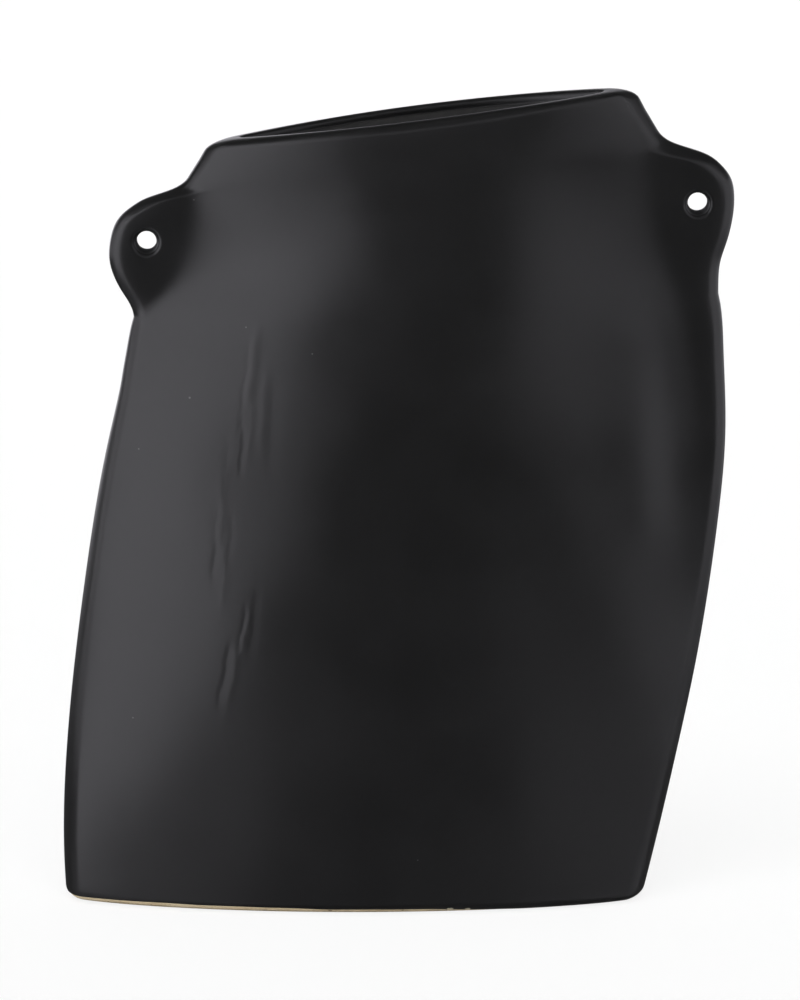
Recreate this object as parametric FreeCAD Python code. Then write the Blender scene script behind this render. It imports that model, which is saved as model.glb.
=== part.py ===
"""Pillow vase: a flat, leaning stoneware vase with a slanted narrow mouth and two pierced ears.

Frame: +Z up, the vase stands on the plane z = 0, its broad front face looks towards -Y and +X is to its right.
The origin is at the bottom centre of the part's box. Lengths are millimetres, angles are degrees.

The body is a stack of level curves. A level curve lies in a plane that is flat at the base and tips more and more
towards the slanted lip. Each curve is a thin rounded edge at both sides with a pillow bulge between them:

    half depth = rounded edge + bulge depth * (1 - s * s) ** fullness,    s = -1 .. 1 across the bulge

Where the outline reaches out past the bulge only the flat edge is left, and that is what the ears are made of.
"""

import FreeCAD, Part

import math
import os

from FreeCAD import Vector

# Body, over the glaze
lip_height = 291.4  # where the lip's plane crosses the origin's axis
belly_half_width = 114.6
belly_half_depth = 42.0
edge_half_thickness = 4.25  # half of the flat side edge, and so half of an ear
base_edge_half_thickness = 6.5
base_round = 5.0
lip_tilt = 7.27
tilt_start = 60.0  # below this height the level curves are horizontal
tilt_power = 3.24

# Lip
lip_round_height = 3.6
lip_round_depth = 2.0
lip_end_round = 8.0  # rounding of the lip's corners, seen from the front
lip_flare = 1.6  # rounding of the lip's inner edge
lip_flare_height = 3.0
lip_ring_height = 7.0

# Walls and glazes
wall_thickness = 4.0
side_wall = 5.2  # clay between the hollow's narrow end and the edge of the bulge
hollow_edge_half_thickness = 1.5
hollow_base_round = 5.0
outer_glaze_thickness = 0.4
inner_glaze_thickness = 0.3

# Foot and floor
foot_height = 1.2  # bare clay below the glaze
foot_width = 7.0
floor_thickness = 6.8

# Ears
ear_drop = 69.4  # from the lip's level down to where an ear leaves the body
ear_root = 55.0  # length of an ear along the body
ear_reach = 20.6
ear_hole_rise = 30.7  # from the ear's foot up to the level of its hole
ear_hole_inset = 13.4  # from the ear's outer edge to the axis of its hole
ear_hole_radius = 3.6  # inside the glaze
ear_hole_round = 2.1
ear_hole_round_angle = 68.0  # the rounding stops short of lying flat in the ear's face
ear_joint_radius = 50.0
ear_joint_gap = 12.0  # clay between the hole's axis and the joint with the walls
ear_joint_lean = 20.0

# One overrun serves all cuts
overrun = 20.0

# Shares of lip_height, and there the centre line's place in shares of belly_half_width
LEAN_SHARES = (
    (0.0, -0.135), (0.1, -0.109), (0.2, -0.075), (0.3, -0.037), (0.4, 0.0), (0.5, 0.035),
    (0.6, 0.068), (0.7, 0.090), (0.8, 0.096), (0.9, 0.089), (0.95, 0.084), (1.0, 0.082),
)
# Shares of lip_height, and there the half width in shares of belly_half_width
HALF_WIDTH_SHARES = (
    (0.0, 0.928), (0.1, 0.962), (0.2, 0.983), (0.3, 0.996), (0.4, 1.0), (0.5, 0.997), (0.6, 0.982),
    (0.7, 0.951), (0.76, 0.929), (0.8, 0.892), (0.9, 0.794), (0.945, 0.750), (0.97, 0.712), (1.0, 0.672),
)
# Shares of lip_height, and there the half depth in shares of belly_half_depth
HALF_DEPTH_SHARES = (
    (0.0, 0.626), (0.1, 0.774), (0.2, 0.881), (0.3, 0.952), (0.4, 0.990), (0.5, 1.0), (0.6, 0.976),
    (0.7, 0.908), (0.8, 0.797), (0.9, 0.672), (1.0, 0.540),
)
# Shares of lip_height, and there the bulge's reach in shares of the body's half width
LEFT_BULGE_SHARES = (
    (0.0, 1.0), (0.3, 1.0), (0.55, 1.0), (0.7, 0.975), (0.78, 0.925), (0.86, 0.885), (0.945, 0.895), (1.0, 0.910),
)
RIGHT_BULGE_SHARES = (
    (0.0, 1.0), (0.2, 0.998), (0.4, 0.966), (0.6, 0.922), (0.7, 0.890), (0.78, 0.865), (0.86, 0.860),
    (0.945, 0.890), (1.0, 0.910),
)
# Shares of lip_height, and there the fullness exponent of the bulge
LEFT_FULLNESS_SHARES = (
    (0.0, 0.75), (0.2, 0.79), (0.4, 0.84), (0.6, 0.94), (0.7, 1.10), (0.78, 1.30), (0.86, 1.42), (0.945, 1.25),
    (1.0, 1.02),
)
RIGHT_FULLNESS_SHARES = (
    (0.0, 0.75), (0.2, 0.92), (0.4, 1.22), (0.6, 1.42), (0.7, 1.48), (0.86, 1.46), (0.945, 1.15), (1.0, 0.85),
)
# Shares of ear_root, and there the ear's reach in shares of ear_reach
LEFT_EAR_SHARES = (
    (0.0, 0.0), (0.1, 0.170), (0.2, 0.422), (0.3, 0.646), (0.4, 0.820), (0.5, 0.932), (0.6, 0.990),
    (0.7, 0.995), (0.77, 0.922), (0.84, 0.738), (0.88, 0.555), (0.92, 0.225), (0.96, 0.050), (1.0, 0.0),
)
RIGHT_EAR_SHARES = (
    (0.0, 0.0), (0.1, 0.087), (0.2, 0.228), (0.3, 0.437), (0.4, 0.631), (0.5, 0.791), (0.6, 0.903),
    (0.7, 0.922), (0.77, 0.825), (0.84, 0.605), (0.88, 0.364), (0.92, 0.140), (0.96, 0.030), (1.0, 0.0),
)
# Where level curves are taken, in shares of the three zones: below the ears, along them and above them
BODY_ROW_SHARES = (0.04, 0.09, 0.16, 0.24, 0.33, 0.43, 0.54, 0.65, 0.76, 0.86, 0.94)
EAR_ROW_SHARES = (
    0.0, 0.06, 0.12, 0.19, 0.27, 0.36, 0.46, 0.56, 0.65, 0.72, 0.78, 0.82, 0.85, 0.88, 0.905, 0.93, 0.96, 1.0,
)
NECK_ROW_SHARES = (0.35, 0.7)
ROUND_STEPS = 4
EDGE_STEPS = 4
BULGE_STEPS = 16
LEFT, RIGHT = -1, 1

floor_top = foot_height + floor_thickness
ear_low = lip_height - ear_drop
ear_high = ear_low + ear_root
ear_hole_level = ear_low + ear_hole_rise


def spline_through(shares):
    """A smooth curve through (share, value) pairs, as a function of the share."""
    places = [share for share, _ in shares]
    curve = Part.BSplineCurve()
    curve.interpolate(Points=[Vector(share, value, 0) for share, value in shares], Parameters=places)
    return lambda share: curve.value(min(max(share, places[0]), places[-1])).y


lean_share = spline_through(LEAN_SHARES)
half_width_share = spline_through(HALF_WIDTH_SHARES)
half_depth_share = spline_through(HALF_DEPTH_SHARES)
bulge_share = {LEFT: spline_through(LEFT_BULGE_SHARES), RIGHT: spline_through(RIGHT_BULGE_SHARES)}
fullness_share = {LEFT: spline_through(LEFT_FULLNESS_SHARES), RIGHT: spline_through(RIGHT_FULLNESS_SHARES)}
ear_share = {LEFT: spline_through(LEFT_EAR_SHARES), RIGHT: spline_through(RIGHT_EAR_SHARES)}


def slope(level):
    """Rise of a level curve's plane per unit of x."""
    climb = max(0, level - tilt_start) / (lip_height - tilt_start)
    return math.tan(math.radians(lip_tilt)) * climb ** tilt_power


def centre(level):
    return belly_half_width * lean_share(level / lip_height)


def body_reach(level):
    """Half width of the body without its ears."""
    return belly_half_width * half_width_share(level / lip_height)


def outline_reach(level, side):
    """From the leaning centre line to the outline, ears included."""
    along_ear = (level - ear_low) / ear_root
    return body_reach(level) + ear_reach * ear_share[side](along_ear)


def bulge_reach(level, side):
    return body_reach(level) * bulge_share[side](level / lip_height)


def fullness(level):
    """The bulge's exponent at the left and at the right."""
    return {side: fullness_share[side](level / lip_height) for side in (LEFT, RIGHT)}


def half_depth(level):
    return belly_half_depth * half_depth_share(level / lip_height)


def edge_thickness(level):
    """Half thickness of the side edge: stout at the base, thin from the belly up."""
    fade = (1 - min(1, 2 * level / lip_height)) ** 2
    return edge_half_thickness + (base_edge_half_thickness - edge_half_thickness) * fade


def outline_stretch(level, side):
    """How much wider a level curve cuts the rounded edge where the outline slants."""
    low, high = max(0, level - edge_half_thickness / 4), min(lip_height, level + edge_half_thickness / 4)
    run = side * (centre(high) - centre(low)) + outline_reach(high, side) - outline_reach(low, side)
    return math.hypot(1, run / (high - low))


def level_curve(level, reach, edge_depth, edge_width, bulge_depth, bulge_ends):
    """Points of the front half of a level curve, from the left edge to the right edge.

    reach, edge_width and bulge_ends hold one length for each side, measured from the centre line or from the
    outline. edge_depth is the rounded edge's half thickness and bulge_depth what the bulge adds in the middle.
    """
    offsets = []
    for step in range(EDGE_STEPS):
        turn = math.radians(90) * step / EDGE_STEPS
        offsets.append((edge_width[LEFT] * (1 - math.cos(turn)) - reach[LEFT], edge_depth * math.sin(turn)))
    flat_low, flat_high = edge_width[LEFT] - reach[LEFT], reach[RIGHT] - edge_width[RIGHT]
    for step in range(BULGE_STEPS + 1):
        turn = math.radians(180) * step / BULGE_STEPS
        offsets.append(((flat_low + flat_high) / 2 - (flat_high - flat_low) / 2 * math.cos(turn), edge_depth))
    for step in reversed(range(EDGE_STEPS)):
        turn = math.radians(90) * step / EDGE_STEPS
        offsets.append((reach[RIGHT] - edge_width[RIGHT] * (1 - math.cos(turn)), edge_depth * math.sin(turn)))

    power = fullness(level)
    ends = {side: min(bulge_ends[side], reach[side]) for side in (LEFT, RIGHT)}
    points = []
    for across, rounded in offsets:
        share = across / ends[RIGHT if across > 0 else LEFT]
        blend = min(1, max(0, (1 + across / ends[RIGHT]) / 2))
        exponent = power[LEFT] + (power[RIGHT] - power[LEFT]) * blend * blend * (3 - 2 * blend)
        depth = rounded + bulge_depth * max(0, 1 - share * share) ** exponent
        x = centre(level) + across
        points.append(Vector(x, -depth, level + slope(level) * x))
    return points


def chord_shares(points):
    """Place of each point along its row, from 0 to 1."""
    lengths = [0]
    for here, following in zip(points, points[1:]):
        lengths.append(lengths[-1] + here.distanceToPoint(following))
    return [length / lengths[-1] for length in lengths]


def skin(rows):
    """One smooth face through rows of points, each row with as many points as the next."""
    across_places = chord_shares(rows[len(rows) // 2])
    up_places = chord_shares([row[len(row) // 2] for row in rows])
    row_curves = []
    for row in rows:
        curve = Part.BSplineCurve()
        curve.interpolate(Points=row, Parameters=across_places)
        row_curves.append(curve)
    columns = []
    for poles in zip(*[curve.getPoles() for curve in row_curves]):
        curve = Part.BSplineCurve()
        curve.interpolate(Points=list(poles), Parameters=up_places)
        columns.append(curve)
    across, up = row_curves[0], columns[0]
    surface = Part.BSplineSurface()
    surface.buildFromPolesMultsKnots(
        [curve.getPoles() for curve in columns],
        across.getMultiplicities(), up.getMultiplicities(), across.getKnots(), up.getKnots(),
        False, False, across.Degree, up.Degree,
    )
    return surface.toShape()


def solid_of_levels(rows):
    """The closed solid between a skin and its mirror image behind the plane y = 0."""
    front = skin(rows)
    rear = front.mirror(Vector(), Vector(0, 1, 0))
    faces = [front, rear]
    for row in (rows[0], rows[-1]):
        rims = []
        for face in (front, rear):
            rims += [edge for edge in face.Edges if lies_in_plane_of(edge, row)]
        faces.append(Part.Face(Part.Wire(Part.__sortEdges__(rims))))
    shell = Part.Shell(faces)
    shell.sewShape()
    return Part.Solid(shell)


def lies_in_plane_of(edge, row):
    """Whether an edge lies in the plane of a level curve, which is parallel to Y."""
    start, end = row[0], row[-1]
    normal = (end - start).cross(Vector(0, 1, 0)).normalize()
    return all(abs((vertex.Point - start).dot(normal)) < 1e-6 for vertex in edge.Vertexes)


def outside(inset):
    """The vase's outside as a full solid, moved inwards by a skin of the given thickness."""
    top = lip_height - inset
    rounding = [
        (1 - math.cos(math.radians(90) * step / ROUND_STEPS), 1 - math.sin(math.radians(90) * step / ROUND_STEPS))
        for step in range(ROUND_STEPS + 1)
    ]
    stations = [(base_round * rise, trim, 0) for rise, trim in rounding]
    stations += [(base_round + (ear_low - base_round) * share, 0, 0) for share in BODY_ROW_SHARES]
    stations += [(ear_low + ear_root * share, 0, 0) for share in EAR_ROW_SHARES]
    neck_top = top - lip_round_height
    stations += [(ear_high + (neck_top - ear_high) * share, 0, 0) for share in NECK_ROW_SHARES]
    stations += [(top - lip_round_height * drop, 0, trim) for drop, trim in reversed(rounding)]

    rows = []
    for level, base_trim, lip_trim in stations:
        sunk = inset + base_round * base_trim + lip_round_depth * lip_trim
        stretch = {side: outline_stretch(level, side) for side in (LEFT, RIGHT)}
        reach = {}
        for side in (LEFT, RIGHT):
            reach[side] = outline_reach(level, side) - inset * stretch[side]
            reach[side] -= base_round * base_trim + lip_end_round * lip_trim
        edge_depth = edge_thickness(level) - sunk
        rows.append(level_curve(
            level, reach, edge_depth, {side: edge_depth * stretch[side] for side in (LEFT, RIGHT)},
            half_depth(level) - edge_thickness(level),
            {side: bulge_reach(level, side) - inset - base_round * base_trim for side in (LEFT, RIGHT)},
        ))
    return solid_of_levels(rows)


def hollow(inset):
    """The room inside, moved inwards by the liner glaze, and run out past the lip."""
    bottom = floor_top + inset
    stations = []
    for step in range(ROUND_STEPS + 1):
        turn = math.radians(90) * step / ROUND_STEPS
        stations.append((bottom + hollow_base_round * (1 - math.cos(turn)), 1 - math.sin(turn)))
    start = bottom + hollow_base_round
    flare_start = lip_height - lip_flare_height
    stations += [(start + (ear_low - start) * share, 0) for share in BODY_ROW_SHARES]
    stations += [(ear_low + (flare_start - ear_low) * share, 0) for share in (0.0, 0.25, 0.5, 0.75)]
    stations += [(flare_start + lip_flare_height * share, 0) for share in (0.0, 0.4, 0.75, 1.0, 1.3)]

    rows = []
    for level, base_trim in stations:
        flare = lip_flare * max(0, (level - flare_start) / lip_flare_height) ** 3
        edge_depth = hollow_edge_half_thickness - inset + flare
        reach, ends = {}, {}
        for side in (LEFT, RIGHT):
            ends[side] = bulge_reach(level, side) - side_wall - hollow_base_round * base_trim
            reach[side] = ends[side] - inset + flare
        bulge_depth = half_depth(level) - outer_glaze_thickness - wall_thickness - hollow_edge_half_thickness
        bulge_depth -= hollow_base_round * base_trim
        rows.append(level_curve(
            level, reach, edge_depth, {side: edge_depth for side in (LEFT, RIGHT)}, bulge_depth, ends,
        ))
    return solid_of_levels(rows)


def slab(low, high):
    """All that lies between two heights."""
    reach = 2 * belly_half_width
    return Part.makeBox(2 * reach, 2 * reach, high - low, Vector(-reach, -reach, low))


def above_lip_plane(drop):
    """All that lies above a plane parallel to the lip, this far below it."""
    reach = 2 * belly_half_width
    block = Part.makeBox(2 * reach, 2 * reach, lip_height, Vector(-reach, -reach, 0))
    block.rotate(Vector(), Vector(0, 1, 0), -lip_tilt)
    block.translate(Vector(0, 0, lip_height - drop))
    return block


def hole_axis(side):
    """Where an ear's hole crosses the middle plane of the vase."""
    x = centre(ear_hole_level) + side * (outline_reach(ear_hole_level, side) - ear_hole_inset)
    return Vector(x, 0, ear_hole_level + slope(ear_hole_level) * x)


def hole_cutter(side, inset):
    """A round hole through an ear, with rounded rims at the front and at the rear."""
    rim_round = ear_hole_round - inset
    arc_radius = ear_hole_radius + ear_hole_round
    arc_depth = edge_half_thickness - ear_hole_round

    def rim_point(angle):
        turn = math.radians(angle)
        return Vector(arc_radius - rim_round * math.cos(turn), arc_depth + rim_round * math.sin(turn), 0)

    start, middle, end = rim_point(0), rim_point(ear_hole_round_angle / 2), rim_point(ear_hole_round_angle)
    widening = ear_hole_round / math.tan(math.radians(90 - ear_hole_round_angle))
    outer = Vector(end.x + widening, end.y + ear_hole_round, 0)
    profile = Part.Wire([
        Part.makeLine(Vector(), Vector(start.x, 0, 0)), Part.makeLine(Vector(start.x, 0, 0), start),
        Part.Arc(start, middle, end).toShape(), Part.makeLine(end, outer),
        Part.makeLine(outer, Vector(0, outer.y, 0)), Part.makeLine(Vector(0, outer.y, 0), Vector()),
    ])
    half = Part.Face(profile).revolve(Vector(), Vector(0, 1, 0), 360)
    cutter = half.fuse(half.mirror(Vector(), Vector(0, 1, 0))).removeSplitter()
    cutter.translate(hole_axis(side))
    return cutter


def ear_zone(side):
    """The round zone that an ear takes up, its joint with the walls as an arc past the hole."""
    axis = hole_axis(side)
    lean = math.radians(ear_joint_lean) + side * math.atan(slope(ear_hole_level))
    away = ear_joint_radius - ear_joint_gap
    reach = belly_half_depth + overrun
    foot = Vector(axis.x + side * away * math.cos(lean), -reach, axis.z + away * math.sin(lean))
    return Part.makeCylinder(ear_joint_radius, 2 * reach, foot, Vector(0, 1, 0))


def half_space(front):
    """All that lies in front of, or behind, the plane of the side seams."""
    reach = 2 * belly_half_width
    start = Vector(-reach, -reach if front else 0, -overrun)
    return Part.makeBox(2 * reach, reach, lip_height + 2 * overrun + reach, start)


def pierced(inset):
    """The outside as a full solid with both ears pierced, moved inwards by a skin of the given thickness."""
    return outside(inset).cut([hole_cutter(side, inset) for side in (LEFT, RIGHT)])


def foot_recess():
    """The flat bare middle of the foot, which stays clear of the table."""
    reach = {side: outline_reach(0, side) - base_round - foot_width for side in (LEFT, RIGHT)}
    edge_depth = hollow_edge_half_thickness
    bulge_depth = half_depth(0) - base_round - foot_width - edge_depth
    row = level_curve(0, reach, edge_depth, {side: edge_depth for side in (LEFT, RIGHT)}, bulge_depth, reach)
    curve = Part.BSplineCurve()
    curve.interpolate(Points=row, Parameters=chord_shares(row))
    front = curve.toShape()
    rear = front.mirror(Vector(), Vector(0, 1, 0))
    outline = Part.Wire(Part.__sortEdges__([front, rear]))
    return Part.Face(outline).extrude(Vector(0, 0, foot_height))


def make_foot_rim(clay):
    return clay.common(slab(0, foot_height)).cut(foot_recess())


def make_floor_slab(clay):
    return clay.common(slab(foot_height, floor_top))


def make_lip_ring(clay):
    return clay.common(above_lip_plane(lip_ring_height))


def make_ear(clay, side):
    return clay.common(ear_zone(side))


def make_wall(clay, front):
    upper = clay.cut(slab(-overrun, floor_top))
    upper = upper.cut([above_lip_plane(lip_ring_height), ear_zone(LEFT), ear_zone(RIGHT)])
    return upper.common(half_space(front))


def make_inner_glaze():
    return hollow(0).cut(above_lip_plane(outer_glaze_thickness)).cut(hollow(inner_glaze_thickness))


def make_outer_glaze(core):
    coat = pierced(0).cut(slab(-overrun, foot_height))
    return coat.cut(core).cut(hollow(inner_glaze_thickness))


def main():
    core = pierced(outer_glaze_thickness)
    clay = core.cut(hollow(0))
    nodes = {
        "foot_rim": make_foot_rim(clay),
        "floor_slab": make_floor_slab(clay),
        "front_wall": make_wall(clay, True),
        "rear_wall": make_wall(clay, False),
        "lip_ring": make_lip_ring(clay),
        "left_ear": make_ear(clay, LEFT),
        "right_ear": make_ear(clay, RIGHT),
        "outer_glaze": make_outer_glaze(core),
        "inner_glaze": make_inner_glaze(),
    }
    os.makedirs("parts", exist_ok=True)
    for name, shape in nodes.items():
        shape.exportStep(f"parts/{name}.step")
        box = shape.BoundBox
        print(
            f"{name}: solids {len(shape.Solids)}, valid {shape.isValid()}, volume {shape.Volume:.0f} mm3, "
            f"x {box.XMin:.1f}..{box.XMax:.1f}, y {box.YMin:.1f}..{box.YMax:.1f}, z {box.ZMin:.2f}..{box.ZMax:.1f}"
        )


if __name__ == "__main__":
    main()
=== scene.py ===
"""Pillow vase: the looks of a flat, leaning stoneware vase in a satin black glaze.

Lengths in the classes are millimetres, as in the part's own source, and become metres where a mesh is made.
The vase stands on z = 0, its broad front faces -Y and +X is to its right.

The outer glaze and the liner glaze are surfaces worked out with numpy. The bare clay of the foot, the floor
and the walls under the glaze are the part's own solids, dressed with a stoneware material.
"""

import logging
import math
from dataclasses import dataclass
from enum import Enum
from typing import Any, Optional

import bpy
import numpy as np
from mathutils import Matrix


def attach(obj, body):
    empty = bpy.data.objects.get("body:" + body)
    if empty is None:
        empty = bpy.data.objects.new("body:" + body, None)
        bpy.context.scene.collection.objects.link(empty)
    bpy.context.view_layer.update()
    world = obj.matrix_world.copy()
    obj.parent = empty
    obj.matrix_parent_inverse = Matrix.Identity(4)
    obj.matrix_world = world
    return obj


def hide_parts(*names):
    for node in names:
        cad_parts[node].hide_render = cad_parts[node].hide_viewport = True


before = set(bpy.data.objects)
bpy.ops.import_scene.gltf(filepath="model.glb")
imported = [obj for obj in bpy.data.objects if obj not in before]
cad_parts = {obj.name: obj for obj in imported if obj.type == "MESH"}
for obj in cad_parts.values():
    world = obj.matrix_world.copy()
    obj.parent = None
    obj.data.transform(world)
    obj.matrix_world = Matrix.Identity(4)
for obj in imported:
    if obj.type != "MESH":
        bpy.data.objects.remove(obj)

MM = 0.001
TINY = 1e-12  # keeps a division by a length from failing
COLUMN_SAMPLES = 4001  # where the spacing of columns is summed up
ROW_SAMPLES = 2001  # where the spacing of rows is summed up
SOFT_RANGE = (0.3, 0.7)  # a noise pattern mostly stays inside this
WIDE_RANGE = (0.2, 0.8)  # and hardly ever leaves this
log = logging.getLogger("pillow_vase")


class Side(Enum):
    """The two sides of the vase, as seen from the front."""

    LEFT = -1
    RIGHT = 1


class Slot(Enum):
    """Material slots of the part's record."""

    CLAY = "bare_stoneware"
    COAT = "matt_black_glaze"
    LINER = "black_liner_glaze"


# Curves and sizes


class ShareCurve:
    """A smooth curve through given (share, value) pairs.

    Formula: one cubic from each pair to the next, with equal slope and curvature where two cubics meet. The
    slope at each end is that of the cubic through the four nearest pairs.
    """

    def __init__(self, *pairs: tuple[float, float]) -> None:
        """Works out the slope at every pair.

        Args:
            pairs: Shares in rising order, each with its value.
        """
        self.places, self.values = np.array(pairs, float).T
        steps = np.diff(self.places)
        rises = np.diff(self.values) / steps
        inner = np.arange(1, len(pairs) - 1)
        matrix = np.zeros((len(pairs), len(pairs)))
        right = np.zeros(len(pairs))
        matrix[0, 0] = matrix[-1, -1] = 1
        right[0] = self._end_slope(self.places[:4], self.values[:4])
        right[-1] = self._end_slope(self.places[:-5:-1], self.values[:-5:-1])
        matrix[inner, inner - 1] = steps[1:]
        matrix[inner, inner] = 2 * (steps[:-1] + steps[1:])
        matrix[inner, inner + 1] = steps[:-1]
        right[inner] = 3 * (steps[1:] * rises[:-1] + steps[:-1] * rises[1:])
        self.slopes = np.linalg.solve(matrix, right)

    @staticmethod
    def _end_slope(places: np.ndarray, values: np.ndarray) -> float:
        """Slope at the first place of the cubic through four pairs."""
        return float(np.polyfit(places - places[0], values, 3)[-2])

    def __call__(self, share: np.ndarray) -> np.ndarray:
        """Reads the curve.

        Args:
            share: Shares, kept to the range of the pairs.

        Returns:
            The values there, in the same shape.
        """
        share = np.clip(share, self.places[0], self.places[-1])
        here = np.clip(np.searchsorted(self.places, share) - 1, 0, len(self.places) - 2)
        step = self.places[here + 1] - self.places[here]
        t = (share - self.places[here]) / step
        return (
            self.values[here] * (1 + 2 * t) * (1 - t) ** 2
            + self.slopes[here] * step * t * (1 - t) ** 2
            + self.values[here + 1] * t * t * (3 - 2 * t)
            + self.slopes[here + 1] * step * t * t * (t - 1)
        )


def smooth(low: float, high: float, value: np.ndarray) -> np.ndarray:
    """A soft step: 0 up to low, 1 from high on, and 3tt - 2ttt between."""
    t = np.clip((value - low) / (high - low), 0, 1)
    return t * t * (3 - 2 * t)


@dataclass(frozen=True)
class CloseBand:
    """A stretch of shares with shorter steps, which come in softly at its start and go softly at its end."""

    start: float
    full: float
    fall: float
    end: float
    extra: float

    def density(self, share: np.ndarray) -> np.ndarray:
        """How much denser the steps get there, where 1 is plain."""
        return self.extra * (smooth(self.start, self.full, share) - smooth(self.fall, self.end, share))


def close_steps(steps: int, samples: int, *bands: CloseBand) -> np.ndarray:
    """Shares from 0 to 1, with shorter steps in the bands.

    Formula: the density, which is 1 and what the bands add, is summed up along the shares, and all steps
    are equal in that sum.

    Args:
        steps: How many steps there are.
        samples: At how many places the density is summed up.
        bands: Where the steps are shorter.

    Returns:
        The shares, both ends included.
    """
    share = np.linspace(0, 1, samples)
    density = 1 + sum(band.density(share) for band in bands)
    reached = np.concatenate([[0], np.cumsum((density[1:] + density[:-1]) / 2)])
    return np.interp(np.linspace(0, reached[-1], steps + 1), reached, share)


# Where columns run closely, in shares of the front's width: at both ears, and in the band of glaze runs
COLUMN_BANDS = (
    CloseBand(-1.0, 0.0, 0.07, 0.12, 1.6),
    CloseBand(0.88, 0.93, 1.0, 2.0, 1.6),
    CloseBand(0.17, 0.20, 0.31, 0.34, 4.5),
)

# The curves run over shares of the lip's height, but the ears' over shares of the ear's root, and the last
# over x.
# Place of the leaning centre line, in shares of the belly's half width
LEAN = ShareCurve(
    (0.0, -0.135), (0.1, -0.109), (0.2, -0.075), (0.3, -0.037), (0.4, 0.0), (0.5, 0.035), (0.6, 0.068),
    (0.7, 0.090), (0.8, 0.096), (0.9, 0.089), (0.95, 0.084), (1.0, 0.082),
)
# Half width without the ears, in shares of the belly's half width
HALF_WIDTH = ShareCurve(
    (0.0, 0.928), (0.1, 0.962), (0.2, 0.983), (0.3, 0.996), (0.4, 1.0), (0.5, 0.997), (0.6, 0.982),
    (0.7, 0.951), (0.76, 0.929), (0.8, 0.892), (0.9, 0.794), (0.945, 0.750), (0.97, 0.712), (1.0, 0.672),
)
# Half depth in the middle, in shares of the belly's half depth
HALF_DEPTH = ShareCurve(
    (0.0, 0.626), (0.1, 0.774), (0.2, 0.881), (0.3, 0.952), (0.4, 0.990), (0.5, 1.0), (0.6, 0.976),
    (0.7, 0.908), (0.8, 0.797), (0.9, 0.672), (1.0, 0.540),
)
# How far out the bulge ends, in shares of the half width there
BULGE = {
    Side.LEFT: ShareCurve(
        (0.0, 1.0), (0.3, 1.0), (0.55, 1.0), (0.7, 0.995), (0.77, 0.97), (0.8, 0.935), (0.835, 0.915),
        (0.87, 0.92), (0.91, 0.94), (0.945, 0.965), (1.0, 0.97),
    ),
    Side.RIGHT: ShareCurve(
        (0.0, 1.0), (0.2, 1.0), (0.4, 0.97), (0.6, 0.93), (0.7, 0.90), (0.78, 0.885), (0.86, 0.90),
        (0.92, 0.93), (0.95, 0.945), (1.0, 0.96),
    ),
}
# The same for the bulge that the hollow and the middle of the outside follow
HOLLOW_BULGE = {
    Side.LEFT: ShareCurve(
        (0.0, 1.0), (0.3, 1.0), (0.55, 1.0), (0.7, 0.975), (0.78, 0.925), (0.86, 0.885), (0.945, 0.895),
        (1.0, 0.910),
    ),
    Side.RIGHT: ShareCurve(
        (0.0, 1.0), (0.2, 0.998), (0.4, 0.966), (0.6, 0.922), (0.7, 0.890), (0.78, 0.865), (0.86, 0.860),
        (0.945, 0.890), (1.0, 0.910),
    ),
}
# The bulge's exponent: it is pointed over 1 and full below
FULLNESS = {
    Side.LEFT: ShareCurve(
        (0.0, 0.75), (0.2, 0.79), (0.4, 0.84), (0.6, 0.94), (0.7, 1.10), (0.78, 1.30), (0.86, 1.42),
        (0.945, 1.25), (1.0, 1.02),
    ),
    Side.RIGHT: ShareCurve(
        (0.0, 0.75), (0.2, 0.92), (0.4, 1.22), (0.6, 1.42), (0.7, 1.48), (0.86, 1.46), (0.945, 1.15),
        (1.0, 0.85),
    ),
}
# How far an ear stands out, in shares of its reach
EAR = {
    Side.LEFT: ShareCurve(
        (0.0, 0.0), (0.1, 0.170), (0.2, 0.422), (0.3, 0.646), (0.4, 0.820), (0.5, 0.932), (0.6, 0.990),
        (0.7, 0.995), (0.77, 0.922), (0.84, 0.738), (0.88, 0.555), (0.92, 0.225), (0.96, 0.050),
        (1.0, 0.0),
    ),
    Side.RIGHT: ShareCurve(
        (0.0, 0.0), (0.1, 0.087), (0.2, 0.228), (0.3, 0.437), (0.4, 0.631), (0.5, 0.791), (0.6, 0.903),
        (0.7, 0.922), (0.77, 0.825), (0.84, 0.605), (0.88, 0.364), (0.92, 0.140), (0.96, 0.030),
        (1.0, 0.0),
    ),
}
# How wide the swell behind the rim is, in millimetres
SWELL_WIDTH = {
    Side.LEFT: ShareCurve(
        (0.0, 0.5), (0.3, 0.5), (0.55, 0.5), (0.7, 2.0), (0.78, 6.0), (0.86, 7.0), (0.945, 5.0),
        (1.0, 3.0),
    ),
    Side.RIGHT: ShareCurve(
        (0.0, 0.5), (0.2, 1.0), (0.4, 3.5), (0.6, 4.5), (0.78, 4.5), (0.86, 4.5), (0.945, 3.5),
        (1.0, 2.5),
    ),
}
# How softly the bulge runs out into a flange or an ear
TOE = {
    Side.LEFT: ShareCurve(
        (0.0, 0.0), (0.3, 0.0), (0.55, 0.0), (0.7, 0.01), (0.76, 0.03), (0.82, 0.11), (0.9, 0.11),
        (0.95, 0.05), (1.0, 0.02),
    ),
    Side.RIGHT: ShareCurve(
        (0.0, 0.0), (0.2, 0.01), (0.4, 0.04), (0.6, 0.07), (0.75, 0.10), (0.9, 0.13), (0.95, 0.08),
        (1.0, 0.02),
    ),
}
# How steeply the swell starts at the rim: depth per distance inwards
SWELL_SLOPE = {Side.LEFT: 0.24, Side.RIGHT: 0.48}
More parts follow.
